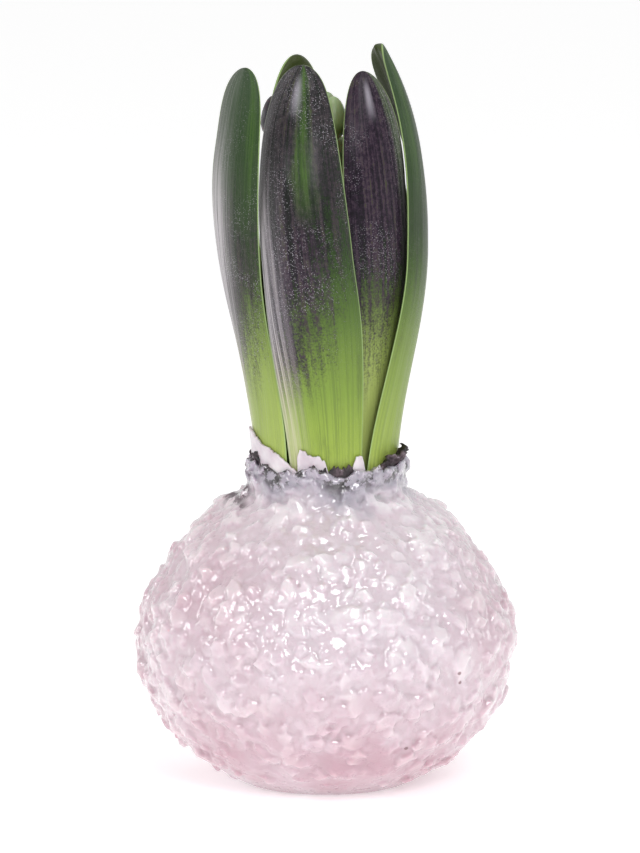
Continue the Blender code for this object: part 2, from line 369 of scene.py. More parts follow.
def wax_finish():
    """Pale pink-lavender wax: flakes of random whiter and pinker tone, painted shade that leaves the wax
    pinker and darker low between the flakes and towards its left, right and lower sides, bluish grey where it
    is thin at the neck.
    """
    made, tree, shader, place = finish_of("wax_glaze")
    x, y, z = make(tree, "ShaderNodeSeparateXYZ", {0: place}).outputs
    stand = make(tree, "ShaderNodeAttribute", attribute_name="stand").outputs["Fac"]
    patches = grain(tree, place, 90.0, 2.0)
    clouds = grain(tree, place, 420.0, 3.0)
    # Painted shade: pinker and darker where the wax sits low between the flakes, whiter where it stands out.
    tone = ramp(
        tree,
        swayed(tree, stand, clouds, 0.5),
        [
            (0.0, colour(210, 195, 203)),
            (0.35, colour(213, 200, 208)),
            (0.6, colour(217, 206, 212)),
            (1.0, colour(224, 216, 220)),
        ],
    )
    own = make(tree, "ShaderNodeAttribute", attribute_name="tone").outputs["Fac"]
    tone = blend(tree, spread(tree, own, 0.5, 1.0, 0.0, 0.35), tone, colour(234, 226, 230))
    tone = blend(tree, spread(tree, own, 0.35, 0.02, 0.0, 0.3), tone, colour(206, 180, 192))
    # Painted shade: pinker and darker towards the wax's left and right sides and its bottom.
    left = times(tree, spread(tree, x, 0.004, -0.032), 0.55)
    right = spread(tree, x, 0.016, 0.034, 0.0, 0.5)
    low = spread(tree, z, 0.034, 0.004, 0.0, 0.8)
    pink = maths(tree, "MAXIMUM", maths(tree, "MAXIMUM", left, right), low)
    pink = times(tree, pink, spread(tree, patches, 0.3, 0.65, 0.45, 1.0))
    tone = blend(tree, pink, tone, colour(219, 176, 186), "MULTIPLY")

    worn = swayed(tree, z, patches, 0.016)
    thin = spread(tree, worn, 0.0495, 0.0555, 0.0, 0.8)
    tone = blend(tree, thin, tone, colour(150, 146, 160))
    gaps = grain(tree, place, 260.0, 6.0, 0.72)
    bare = spread(tree, worn, 0.0535, 0.0575)
    gap = times(tree, spread(tree, gaps, 0.48, 0.54), bare, spread(tree, stand, 0.75, 0.25, 0.4, 1.0))
    tone = blend(tree, gap, tone, colour(34, 24, 30))
    stuck = times(tree, spread(tree, x, -0.0130, -0.0145), spread(tree, y, 0.006, 0.002))
    stuck = times(tree, stuck, spread(tree, worn, 0.0495, 0.0515), spread(tree, gaps, 0.46, 0.54))
    tone = blend(tree, times(tree, stuck, 0.85), tone, colour(64, 36, 48))

    specks = make(tree, "ShaderNodeTexVoronoi", {"Vector": place, "Scale": 210.0})
    near = spread(tree, specks.outputs["Distance"], 0.11, 0.05)
    draw = make(tree, "ShaderNodeSeparateColor", {0: specks.outputs["Color"]}).outputs[0]
    rare = spread(tree, draw, 0.955, 0.96)
    lower = spread(tree, z, 0.045, 0.020, 0.25, 1.0)
    tone = blend(tree, times(tree, near, rare, lower), tone, colour(122, 84, 92))
    tree.links.new(tone, shader.inputs["Base Color"])
    set_sockets(
        shader,
        {
            "Subsurface Weight": 0.75,
            "Subsurface Radius": (1.0, 0.75, 0.85),
            "Subsurface Scale": 0.0025,
            "Coat Weight": 1.0,
            "Coat Roughness": 0.04,
            "Coat IOR": 1.7,
            "IOR": 1.45,
        },
    )
    tree.links.new(spread(tree, clouds, 0.3, 0.7, 0.24, 0.42), shader.inputs["Roughness"])
    fine = maths(tree, "ADD", grain(tree, place, 900.0, 4.0), times(tree, clouds, 1.5))
    add_bump(tree, shader, fine, 0.35, 0.0004)
    return made


def film_finish():
    """Thin, smooth wax film, torn at its edge."""
    made, tree, shader, place = finish_of("wax_film")
    clouds = grain(tree, place, 260.0, 3.0)
    tone = ramp(tree, clouds, [(0.35, colour(200, 187, 196)), (0.7, colour(226, 217, 221))])
    tree.links.new(tone, shader.inputs["Base Color"])
    set_sockets(
        shader,
        {
            "Subsurface Weight": 0.3,
            "Subsurface Radius": (1.0, 0.6, 0.7),
            "Subsurface Scale": 0.001,
            "Roughness": 0.32,
            "Coat Weight": 0.4,
            "Coat Roughness": 0.15,
        },
    )
    add_bump(tree, shader, grain(tree, place, 700.0, 3.0), 0.25, 0.0003)
    return made


def skin_finish():
    """Dry bulb skin: brown-black with paler ridges and a grey wax bloom."""
    made, tree, shader, place = finish_of("torn_skin")
    clouds = grain(tree, place, 500.0, 6.0, 0.65)
    tone = ramp(
        tree,
        clouds,
        [
            (0.40, colour(22, 16, 20)),
            (0.52, colour(52, 38, 44)),
            (0.62, colour(92, 74, 82)),
            (0.74, colour(190, 180, 190)),
        ],
    )
    tree.links.new(tone, shader.inputs["Base Color"])
    set_sockets(shader, {"Roughness": 0.6, "Coat Weight": 0.3, "Coat Roughness": 0.25})
    add_bump(tree, shader, clouds, 0.6, 0.0005)
    return made


def leaf_green(tree, law, along, lines, blotches):
    """Yellow at the foot, deep green from half way up, with darker lines and blotches."""
    green = ramp(
        tree,
        along,
        [
            (0.04, colour(176, 186, 96)),
            (0.14, colour(144, 168, 60)),
            (0.28, colour(104, 134, 40)),
            (0.44, colour(72, 100, 34)),
            (0.62, colour(40, 62, 24)),
            (0.85, colour(38, 64, 26)),
            (1.0, colour(60, 80, 54)),
        ],
    )
    green = blend(tree, spread(tree, lines, 0.42, 0.68, 0.0, 0.45), green, colour(44, 74, 22))
    green = blend(tree, spread(tree, blotches, 0.50, 0.75, 0.0, 0.5), green, colour(40, 62, 26))
    # Pale yellow foot: partly the leaf's own colour, partly painted light lifting a foot that lies in shade.
    pale = spread(tree, along, 0.58, 0.24, 0.0, law.foot_paleness_and_light)
    return blend(tree, pale, green, colour(176, 190, 110))


def leaf_purple(tree, streaks, freckles):
    """Purple-black with paler streaks, olive where it is thinnest."""
    return ramp(
        tree,
        maths(tree, "ADD", times(tree, streaks, 0.6), times(tree, freckles, 0.4)),
        [
            (0.42, colour(14, 6, 18)),
            (0.49, colour(34, 21, 37)),
            (0.56, colour(58, 44, 56)),
            (0.66, colour(56, 60, 36)),
        ],
    )


def leaf_flush(tree, law, across, along, patterns):
    """How purple the leaf is: from its own height up, later on its greener side, ragged by the patterns."""
    side = times(tree, maths(tree, "SUBTRACT", across, 0.5), law.green_side)
    reach = maths(tree, "SUBTRACT", along, times(tree, side, 0.75))
    for pattern, weight in patterns:
        reach = swayed(tree, reach, pattern, weight)
    flush = spread(tree, reach, law.flush_from - 0.16, law.flush_from + 0.20)
    return times(tree, flush, spread(tree, along, 0.20, 0.36, 0.0, law.flush))


def leaf_bloom_and_sheen(tree, law, off, along, streaks, lines):
    """How milky the leaf is towards its bloom side, broken into lengthwise streaks: white bloom and a painted
    sheen where the leaf turns away.
    """
    return times(
        tree,
        spread(tree, off, 1.0 - 0.45 * law.bloom, 0.98),
        spread(tree, streaks, 0.34, 0.66, 0.25, 1.0),
        spread(tree, lines, 0.3, 0.6, 0.45, 1.0),
        spread(tree, along, 0.92, 0.62, 0.25, 1.0),
        0.9 * law.bloom,
    )


def leaf_powder(tree, law, place, off, flush):
    """Fine white dots of bloom, thickest in patches, on the milky side and on the purple."""
    dots = make(tree, "ShaderNodeTexVoronoi", {"Vector": place, "Scale": 4400.0})
    draw = make(tree, "ShaderNodeSeparateColor", {0: dots.outputs["Color"]}).outputs[0]
    cloudy = spread(tree, grain(tree, place, 120.0, 3.0), 0.44, 0.62, 0.10, 1.0)
    return times(
        tree,
        spread(tree, dots.outputs["Distance"], 0.42, 0.16),
        spread(tree, draw, 0.35, 0.80),
        maths(tree, "MAXIMUM", cloudy, spread(tree, off, 0.55, 0.9, 0.0, 0.9)),
        spread(tree, flush, 0.0, 0.7, 0.12, 1.0),
        0.75 * law.bloom,
    )


def leaf_finish(law):
    """Waxy leaf: yellow-green foot, mottled purple-black flush, green stripe, powdery bloom with a painted
    sheen, a painted highlight on the tip, painted shade on the inner face, pale margin.
    """
    made, tree, shader, place = finish_of(law.name)
    uv = make(tree, "ShaderNodeUVMap", uv_map="UVMap").outputs[0]
    across, along = make(tree, "ShaderNodeSeparateXYZ", {0: uv}).outputs[:2]
    inner = make(tree, "ShaderNodeAttribute", attribute_name="inner").outputs["Fac"]

    def stretched(columns, rows, detail, rough, shift=0.0):
        moved = {0: uv, 1: (columns, rows, 1.0), 2: (shift, shift, 0.0)}
        vector = make(tree, "ShaderNodeVectorMath", moved, operation="MULTIPLY_ADD").outputs[0]
        return grain(tree, vector, 1.0, detail, rough)

    streaks = stretched(22.0, 2.4, 4.0, 0.6, law.azimuth)
    lines = stretched(80.0, 1.6, 2.0, 0.5, law.azimuth)
    blotches = stretched(5.5, 5.0, 5.0, 0.68, law.azimuth + 3.0)
    freckles = grain(tree, place, 1100.0, 3.0, 0.7)
    dust = grain(tree, place, 2600.0, 2.0, 0.6)

    patterns = ((streaks, 0.45), (blotches, 0.6), (freckles, 0.2), (dust, 0.5))
    flush = leaf_flush(tree, law, across, along, patterns)
    tips = swayed(tree, along, blotches, 0.5)
    flush = times(tree, flush, spread(tree, tips, 0.52, 0.74, 1.0, 1.0 - law.green_top))
    off = maths(tree, "ABSOLUTE", maths(tree, "SUBTRACT", across, law.stripe))
    off = swayed(tree, off, blotches, 0.35)
    stripe = times(tree, spread(tree, off, 0.13, 0.0), spread(tree, along, 0.64, 0.80), law.stripe_strength)
    flush = times(tree, flush, maths(tree, "SUBTRACT", 1.0, stripe))
    green = leaf_green(tree, law, along, lines, blotches)
    tone = blend(tree, flush, green, leaf_purple(tree, streaks, freckles))
    stripe = times(tree, stripe, spread(tree, streaks, 0.38, 0.60, 0.1, 0.5))
    tone = blend(tree, stripe, tone, colour(84, 122, 30))

    # Milky white along the bloom side: partly powdery bloom, partly a painted sheen where the leaf turns
    # away.
    off = maths(tree, "ABSOLUTE", maths(tree, "SUBTRACT", across, 1.0 - law.bloom_and_sheen_side))
    milky = blend(tree, spread(tree, along, 0.45, 0.25), colour(204, 198, 202), colour(214, 206, 184))
    tone = blend(tree, leaf_bloom_and_sheen(tree, law, off, along, streaks, lines), tone, milky)
    middle = maths(tree, "ABSOLUTE", maths(tree, "SUBTRACT", across, 0.5))
    # Painted highlight: a pale lilac patch on the shoulder of the tip, on the purplest leaves only.
    tip_highlight = times(tree, spread(tree, middle, 0.12, 0.0), spread(tree, along, 0.88, 0.94))
    highlight_strength = max(0.0, law.flush - 0.9) * 4.0
    tip_highlight = times(tree, tip_highlight, spread(tree, along, 0.99, 0.95, 0.0, highlight_strength))
    tone = blend(tree, tip_highlight, tone, colour(196, 190, 202))
    tone = blend(tree, leaf_powder(tree, law, place, off, flush), tone, colour(198, 194, 202))
    # Painted shade: the inner faces darkened to olive, where they face in towards the other leaves.
    tone = blend(tree, times(tree, inner, 0.85), tone, colour(60, 70, 24))
    margin = times(tree, spread(tree, middle, 0.480, 0.494), 0.7)
    tone = blend(tree, margin, tone, colour(158, 184, 120))
    tree.links.new(tone, shader.inputs["Base Color"])
    set_sockets(shader, {"Specular IOR Level": 0.15, "Coat Weight": 0.12, "Coat Roughness": 0.2})
    tree.links.new(spread(tree, streaks, 0.3, 0.7, 0.30, 0.44), shader.inputs["Roughness"])
    relief = maths(tree, "ADD", lines, times(tree, freckles, 0.35))
    add_bump(tree, shader, relief, 0.55, 0.0003)
    return made


def floret_finish():
    """Closed bud: pale green foot and tip, dark purple flanks on some buds, light green on others."""
    made, tree, shader, place = finish_of("bud_skin")
    uv = make(tree, "ShaderNodeUVMap", uv_map="UVMap").outputs[0]
    height = make(tree, "ShaderNodeSeparateXYZ", {0: uv}).outputs[1]
    tint = make(tree, "ShaderNodeAttribute", attribute_name="tint").outputs["Fac"]
    clouds = grain(tree, place, 500.0, 4.0)
    along = swayed(tree, height, clouds, 0.3)
    dark = ramp(
        tree,
        along,
        [
            (0.0, colour(150, 168, 96)),
            (0.3, colour(60, 54, 56)),
            (0.55, colour(30, 22, 36)),
            (0.9, colour(26, 18, 32)),
            (1.0, colour(48, 44, 50)),
        ],
    )
    light = ramp(
        tree,
        along,
        [
            (0.0, colour(160, 176, 100)),
            (0.5, colour(132, 156, 92)),
            (1.0, colour(150, 172, 124)),
        ],
    )
    tree.links.new(blend(tree, tint, dark, light), shader.inputs["Base Color"])
    set_sockets(shader, {"Roughness": 0.38, "Subsurface Weight": 0.05})
    set_sockets(shader, {"Coat Weight": 0.2, "Coat Roughness": 0.25})
    add_bump(tree, shader, grain(tree, place, 1200.0, 3.0), 0.3, 0.0002)
    return made


def stalk_finish():
    made, tree, shader, place = finish_of("stalk_skin")
    clouds = grain(tree, place, 300.0, 4.0)
    tone = ramp(tree, clouds, [(0.3, colour(120, 146, 74)), (0.7, colour(160, 178, 104))])
    tree.links.new(tone, shader.inputs["Base Color"])
    set_sockets(shader, {"Roughness": 0.42, "Subsurface Weight": 0.08})
    add_bump(tree, shader, clouds, 0.3, 0.0003)
    return made


# ---------------------------------------------------------------- wax


def bowl_radius(height):
    """Radius of the onion-shaped body at a height."""
    if height <= WIDEST_AT:
        return WAX_RADIUS * math.sqrt(1 - ((WIDEST_AT - height) / BOWL_DOWN) ** 2)
    share = min(1.0, (height - WIDEST_AT) / BOWL_UP)
    return WAX_RADIUS * (1 - share**UPPER_POWER) ** (1 / UPPER_POWER)


def wax_radius(height):
    return smooth_max(bowl_radius(height), NECK_RADIUS, NECK_BLEND)


def lump(at):
    """How far the wax stands out at a point: soft lumps that die out at the foot and the rim."""
    fade = smooth((at.z - 1.0 * MM) / (7 * MM)) * smooth((RIM_AT - at.z) / (8 * MM))
    coarse = noise.noise(at / LUMP_SIZE)
    fine = noise.noise(at * 2.2 / LUMP_SIZE + Vector((7.0, 3.0, 5.0)))
    return (coarse * 0.65 + fine * 0.35) * 2 * LUMP_HEIGHT * fade


def revolved(name, profile, steps):
    """A closed solid from (radius, height) points, top to bottom, between two points on the axis."""
    rings = [[around(360 * i / steps, radius, height) for i in range(steps)] for radius, height in profile]
    uvs = [[(i / steps, 0.0) for i in range(steps)] for _ in profile]
    return loft(name, rings, uvs, None)


def wax_bed():
    """The dipped body under its flakes: a closed, softly lumpy solid."""
    rows = 90
    profile = []
    for i in range(rows + 1):
        height = mix(RIM_AT, 0.0, (1 - math.cos(math.pi * i / rows)) / 2)
        profile.append((wax_radius(height), height))
    bed = revolved("wax_bed", profile, 160)
    for vertex in bed.data.vertices:
        flat = vertex.co - AXIS
        outward = Vector((flat.x, flat.y, 0.0)).normalized()
        slope = Vector((0, 0, (flat.z - WIDEST_AT) * 0.6))
        if flat.z > 0.1 * MM:
            vertex.co += (outward * WAX_RADIUS + slope).normalized() * lump(vertex.co)
        ragged = noise.noise(flat / (2.4 * MM)) * 1.3 + noise.noise(flat / (0.9 * MM)) * 0.5
        vertex.co.z += ragged * MM * smooth((flat.z - RIM_AT + 2.5 * MM) / (2 * MM))
        crumbs = noise.noise(flat / (1.3 * MM)) * 0.55 + noise.noise(flat / (0.7 * MM)) * 0.3
        vertex.co += outward * crumbs * MM * smooth((flat.z - NECK_CRUMBS_FROM) / (4 * MM))
    return bed


def flake_shapes():
    """Broken wax chips, flat on Z, a few millimetres across, in a collection of their own."""
    chance = random.Random(11)
    holder = bpy.data.collections.new("flakes")
    for number in range(FLAKE_SHAPES):
        corners = chance.choice((4, 5, 5, 6))
        long_side, short_side = chance.uniform(1.1, 1.7) * MM, chance.uniform(0.7, 1.2) * MM
        thick = chance.uniform(0.20, 0.38) * MM
        slant = chance.uniform(-0.35, 0.35)
        work = bmesh.new()
        rim = []
        for i in range(corners):
            angle = 2 * math.pi * (i + chance.uniform(-0.3, 0.3)) / corners
            reach = chance.uniform(0.75, 1.2)
            corner = Vector((long_side * math.cos(angle), short_side * math.sin(angle), 0)) * reach
            rim += [corner.lerp(rim[-1], 0.12) if rim else corner * 0.97, corner]
        count = len(rim)
        rings = []
        for share, height in ((0.85, -thick), (1.0, -thick * 0.2), (0.97, thick * 0.5), (0.78, thick)):
            ring = [p * share + Vector((0, 0, height * (1 + slant * p.x / long_side))) for p in rim]
            rings.append([work.verts.new(p) for p in ring])
        for low, high in zip(rings, rings[1:]):
            for i in range(count):
                j = (i + 1) % count
                work.faces.new((low[i], low[j], high[j], high[i]))
        work.faces.new(rings[-1])
        work.faces.new(list(reversed(rings[0])))
        bmesh.ops.recalc_face_normals(work, faces=work.faces)
        mesh = bpy.data.meshes.new(f"flake_{number}")
        work.to_mesh(mesh)
        work.free()
        holder.objects.link(bpy.data.objects.new(f"flake_{number}", mesh))
    return holder


def flake_tree(holder, finish, with_bed):
    """Nodes that scatter the flakes over the bed, tilted at random, thinner at the foot and the neck."""
    tree = bpy.data.node_groups.new("flake_scatter", "GeometryNodeTree")
    face = tree.interface
    face.new_socket("Bed", in_out="INPUT", socket_type="NodeSocketGeometry")
    for name, kind in (("Spacing", "Float"), ("Tilt", "Float"), ("Seed", "Int")):
        face.new_socket(name, in_out="INPUT", socket_type="NodeSocket" + kind)
    face.new_socket("Wax", in_out="OUTPUT", socket_type="NodeSocketGeometry")
    given = make(tree, "NodeGroupInput")
    position = make(tree, "GeometryNodeInputPosition").outputs[0]
    height = make(tree, "ShaderNodeSeparateXYZ", {0: position}).outputs[2]
    foot = make(tree, "ShaderNodeMapRange", {0: height, 1: FOOT_BARE, 2: FOOT_COVERED, 3: 0.06, 4: 1.0})
    flat = {0: position, 1: (1.0, 1.0, 0.0)}
    level = make(tree, "ShaderNodeVectorMath", flat, operation="MULTIPLY").outputs[0]
    away = make(tree, "ShaderNodeVectorMath", {0: level}, operation="LENGTH").outputs["Value"]
    outside = make(tree, "ShaderNodeMapRange", {0: away, 1: THROAT, 2: THROAT + 0.6 * MM, 3: 0.0, 4: 1.0})
    share = times(tree, foot.outputs[0], outside.outputs[0])
    spots = make(
        tree,
        "GeometryNodeDistributePointsOnFaces",
        {
            "Mesh": given.outputs["Bed"],
            "Distance Min": given.outputs["Spacing"],
            "Density Max": 900000.0,
            "Density Factor": share,
            "Seed": given.outputs["Seed"],
        },
        distribute_method="POISSON",
    )
    most = given.outputs["Tilt"]
    least = times(tree, most, -1.0)
    low = make(tree, "ShaderNodeCombineXYZ", {0: least, 1: least, 2: -math.pi}).outputs[0]
    high = make(tree, "ShaderNodeCombineXYZ", {0: most, 1: most, 2: math.pi}).outputs[0]
    turn = make(tree, "FunctionNodeRandomValue", {0: low, 1: high}, data_type="FLOAT_VECTOR")
    spin = make(
        tree,
        "FunctionNodeRotateRotation",
        {0: spots.outputs["Rotation"], 1: turn.outputs[0]},
        rotation_space="LOCAL",
    )
    size = make(tree, "FunctionNodeRandomValue", {2: 0.0, 3: 1.0}, data_type="FLOAT").outputs[1]
    size = maths(tree, "POWER", size, 2.2)
    size = make(tree, "ShaderNodeMapRange", {0: size, 1: 0.0, 2: 1.0, 3: 0.40, 4: 1.75}).outputs[0]
    chips = make(tree, "GeometryNodeCollectionInfo", {0: holder, 1: True, 2: True})
    laid = make(
        tree,
        "GeometryNodeInstanceOnPoints",
        {
            "Points": spots.outputs["Points"],
            "Instance": chips.outputs[0],
            "Pick Instance": True,
            "Rotation": spin.outputs[0],
            "Scale": size,
        },
    ).outputs[0]
    tone = make(tree, "FunctionNodeRandomValue", {2: 0.0, 3: 1.0, 8: 3}, data_type="FLOAT").outputs[1]
    stored = make(
        tree,
        "GeometryNodeStoreNamedAttribute",
        {"Geometry": laid, "Name": "tone", "Value": tone},
        data_type="FLOAT",
        domain="INSTANCE",
    )
    real = make(tree, "GeometryNodeRealizeInstances", {0: stored.outputs[0]}).outputs[0]
    if with_bed:
        both = make(tree, "GeometryNodeJoinGeometry")
        tree.links.new(given.outputs["Bed"], both.inputs[0])
        tree.links.new(real, both.inputs[0])
        real = both.outputs[0]
    painted = make(tree, "GeometryNodeSetMaterial", {"Geometry": real, "Material": finish})
    result = make(tree, "NodeGroupOutput")
    tree.links.new(painted.outputs[0], result.inputs[0])
    return tree


def set_inputs(modifier, values):
    """Sets a node modifier's inputs by their sockets' identifiers."""
    for socket in modifier.node_group.interface.items_tree:
        if socket.name in values and socket.in_out == "INPUT":
            modifier[socket.identifier] = values[socket.name]


def cavity():
    """The room inside the wax for the bulb, its neck and the leaves."""
    low = BULB_LOW.z - GAP
    widest = (BULB_HIGH.x - BULB_LOW.x) / 2 + GAP
    down, up = BULB_DOWN + GAP, BULB_UP + GAP
    profile = [
        (CAVITY_NECK + 0.6 * MM, RIM_AT + 12 * MM),
        (CAVITY_NECK, RIM_AT),
        (CAVITY_NECK + 0.5 * MM, BULB_TOP + GAP),
    ]
    rows = 24
    for i in range(rows + 1):
        height = mix(BULB_TOP, low, i / rows)
        if height <= WIDEST_AT:
            radius = widest * math.sqrt(max(0.0, 1 - ((WIDEST_AT - height) / down) ** 2))
        else:
            radius = widest * (1 - ((height - WIDEST_AT) / up) ** UPPER_POWER) ** (1 / UPPER_POWER)
        profile.append((radius, height))
    return revolved("cavity", profile, 64)


def scattered(base, holder, finish, with_bed, inputs):
    """The base with flakes scattered over it, or the flakes alone."""
    modifier = base.modifiers.new("flakes", "NODES")
    modifier.node_group = flake_tree(holder, finish, with_bed)
    set_inputs(modifier, inputs)
    return applied(base)


def paint_flakes(wax, flakes):
    """Stores on each vertex how far it stands out from the bed, and the tone of the flake that it lies on."""
    faces = [p.vertices for p in flakes.data.polygons]
    tree = BVHTree.FromPolygons([v.co for v in flakes.data.vertices], faces)
    shade = flakes.data.attributes["tone"].data
    stand, tones = [], []
    for vertex in wax.data.vertices:
        at = vertex.co
        radius = math.hypot(at.x - AXIS.x, at.y - AXIS.y)
        level = wax_radius(min(max(at.z, 0.0), RIM_AT)) + lump(at)
        stand.append(min(1.0, max(0.0, (radius - level) / (0.9 * MM))))
        face = tree.find_nearest(at, VOXEL)[2]
        tones.append(NO_FLAKE if face is None else shade[faces[face][0]].value)
    for name, values in (("stand", stand), ("tone", tones)):
        wax.data.attributes.new(name, "FLOAT", "POINT").data.foreach_set("value", values)


def joined(name, *parts):
    """One mesh object from several, which are removed."""
    work = bmesh.new()
    for part in parts:
        work.from_mesh(part.data)
        bpy.data.objects.remove(part)
    mesh = bpy.data.meshes.new(name)
    work.to_mesh(mesh)
    work.free()
    return new_object(name, mesh)


def wax_coating():
    """The wax: flakes sunk in the bed and lying on it, glazed over in one skin, hollowed for the bulb."""
    finish = wax_finish()
    holder = flake_shapes()
    inputs = {"Spacing": SUNK_SPACING, "Tilt": SUNK_TILT, "Seed": 5}
    bed = scattered(wax_bed(), holder, finish, True, inputs)
    inputs = {"Spacing": CRISP_SPACING, "Tilt": CRISP_TILT, "Seed": 8}
    flakes = scattered(wax_bed(), holder, finish, False, inputs)
    loose = new_object("loose_flakes", flakes.data.copy())
    wax = joined("wax_skin", bed, loose)
    glaze = wax.modifiers.new("glaze", "REMESH")
    glaze.mode = "VOXEL"
    glaze.voxel_size = VOXEL
    soften = wax.modifiers.new("soften", "SMOOTH")
    soften.factor, soften.iterations = 0.5, 1
    applied(wax)
    for vertex in wax.data.vertices:
        vertex.co.z = max(vertex.co.z, 0.0)
    room = cavity()
    cut = wax.modifiers.new("room", "BOOLEAN")
    cut.operation, cut.solver, cut.object = "DIFFERENCE", "MANIFOLD", room
    applied(wax)
    triangles = sum(len(p.vertices) - 2 for p in wax.data.polygons)
    thin = wax.modifiers.new("thin", "DECIMATE")
    thin.ratio = min(1.0, MOST_TRIANGLES / triangles)
    applied(wax)
    paint_flakes(wax, flakes)
    for spare in [room, flakes, *holder.objects]:
        bpy.data.objects.remove(spare)
    bpy.data.collections.remove(holder)
    wax.data.materials.clear()
    wax.data.materials.append(finish)
    put_on(wax, "wax", "wax_coating")


# ---------------------------------------------------------------- leaves


def leaf_section(law, along):
    """Height, midrib radius, half width, channel radius, azimuth and facing at a share of a leaf's rows."""
    root = BULB_TOP + GAP
    tip = law.tip_at * MM
    if along < LOWER_SHARE:
        height, narrowing = mix(root, WIDEST_LEAF_AT, along / LOWER_SHARE), 0.0
    else:
        narrowing = math.sin(math.radians(TIP_SWEEP) * (along - LOWER_SHARE) / (1 - LOWER_SHARE))
        height = mix(WIDEST_LEAF_AT, tip, narrowing)
    up = (height - SPLAY_FROM) / (law.belly_at * MM - SPLAY_FROM)
    over = max(0.0, height - law.belly_at * MM) / (tip - law.belly_at * MM)
    radius = mix(law.neck_radius, law.belly_radius, smooth(up)) * MM
    radius -= (law.belly_radius - law.tip_radius) * MM * over**BELLY_POWER
    widening = smooth((height - SPLAY_FROM) / (WIDEST_LEAF_AT - SPLAY_FROM))
    half = mix(law.neck_half, law.belly_half, widening) * math.sqrt(1 - narrowing**law.bluntness) * MM
    channel = mix(law.neck_radius, law.channel, smooth(up)) * (1 - law.hood * over**2) * MM
    azimuth = mix(law.azimuth, law.tip_azimuth, max(0.0, height - SPLAY_FROM) / (tip - SPLAY_FROM))
    return height, radius, half, channel, azimuth, azimuth + law.tip_turn * over**2


def leaf(law):
    """A fleshy channelled leaf with fine ribs, thin rounded margins and a hooded tip."""
    rings, uvs, inner = [], [], []
    number = LEAVES.index(law)
    for row in range(LEAF_ROWS + 1):
        along = row / LEAF_ROWS
        height, radius, half, channel, azimuth, faces = leaf_section(law, along)
        outward = around(faces, 1.0, 0.0) - AXIS
        sideways = Vector((-outward.y, outward.x, 0.0))
        share = (height - BULB_TOP) / (law.tip_at * MM - BULB_TOP)
        ring, ring_uv = [], []
        for i in range(2 * LEAF_COLUMNS):
            outside = i < LEAF_COLUMNS
            step = i / (LEAF_COLUMNS - 1) if outside else (2 * LEAF_COLUMNS - 1 - i) / (LEAF_COLUMNS - 1)
            across = math.sin((step - 0.5) * math.pi)
            bend = across * half / channel
            facing = outward * math.cos(bend) + sideways * math.sin(bend)
            ribs = math.cos(across * 19 + number) * 0.025 + math.cos(across * 47) * 0.012
            wave = noise.noise(Vector((across * 1.5, share * 5.0, number * 9.0))) * 0.22
            round_off = math.sqrt(max(0.0, 1 - across**8))
            thick = LEAF_THICKNESS * mix(1.0, 0.45, abs(across) ** 2) * min(1.0, half / (2.2 * MM)) ** 0.6
            if outside:
                depth = 0.12 * thick * (1 - round_off)
                lift = ribs * MM * round_off * min(1.0, half / (3 * MM))
            else:
                depth = thick * (0.5 + 0.5 * round_off) - 0.38 * thick * (1 - round_off)
                lift = 0.0
            reach = channel - depth + lift + wave * MM * smooth(share * 3)
            centre = around(azimuth, radius, 0.0) - outward * channel
            ring.append(centre + facing * reach + Vector((0, 0, height)))
            ring_uv.append((across * 0.5 + 0.5, share))
            inner.append(0.0 if outside else 1.0)
        rings.append(ring)
        uvs.append(ring_uv)
    made = loft(law.name + "_blade", rings, uvs, leaf_finish(law))
    layer = made.data.attributes.new("inner", "FLOAT", "POINT")
    layer.data.foreach_set("value", np.array(inner + [0.0, 0.0], np.float32))
    return put_on(made, "leaf", law.name)


# ---------------------------------------------------------------- neck


def leaf_surface(blades):
    """A ray tree of all the leaves together."""
    points, faces = [], []
    for blade in blades:
        first = len(points)
        points += [v.co.copy() for v in blade.data.vertices]
        faces += [[first + i for i in p.vertices] for p in blade.data.polygons]
    return BVHTree.FromPolygons(points, faces)


def shell(name, columns, rows, place, thickness, finish):
    """A thin solid from a grid placed by a law of (across, along), 0 to 1."""
    work = bmesh.new()
    bmesh.ops.create_grid(work, x_segments=columns, y_segments=rows, size=0.5)
    for vertex in work.verts:
        vertex.co = place(vertex.co.x + 0.5, vertex.co.y + 0.5)
    mesh = bpy.data.meshes.new(name)
    work.to_mesh(mesh)
    work.free()
    made = new_object(name, mesh, finish)
    wall = made.modifiers.new("wall", "SOLIDIFY")
    wall.thickness, wall.offset = thickness, 0.0
    made = applied(made)
    work = bmesh.new()
    work.from_mesh(made.data)
    bmesh.ops.recalc_face_normals(work, faces=work.faces)
    work.to_mesh(made.data)
    work.free()
    return made


def rough(x, y, z):
    """Even noise, about -1 to 1."""
    return noise.noise(Vector((x, y, z)))


def dry_skin(name, first, last, top, lean, crumple, finish):
    """A torn dry skin between leaves and wax: upright below the rim, crumpled and leaning out above it."""

    def place(across, along):
        azimuth = mix(first, last, across)
        side = abs(across * 2 - 1)
        torn = rough(azimuth * 0.13, top, 0.0) * 2.6 + rough(azimuth * 0.6, top, 3.0)
        height = mix(BULB_TOP + GAP, (top + torn - side**3 * 3.0) * MM, along)
        out = lean * MM * smooth((height - RIM_AT) / (4 * MM))
        loose = smooth((height - RIM_AT + 1 * MM) / (3 * MM))
        creases = rough(azimuth * 0.35, height * 900, 1.0) + 0.5 * rough(azimuth, height * 2400, 2.0)
        return around(azimuth, SKIN_RADIUS + out + creases * crumple * MM * loose, height)

    return shell(name, 60, 30, place, SKIN_THICKNESS, finish)


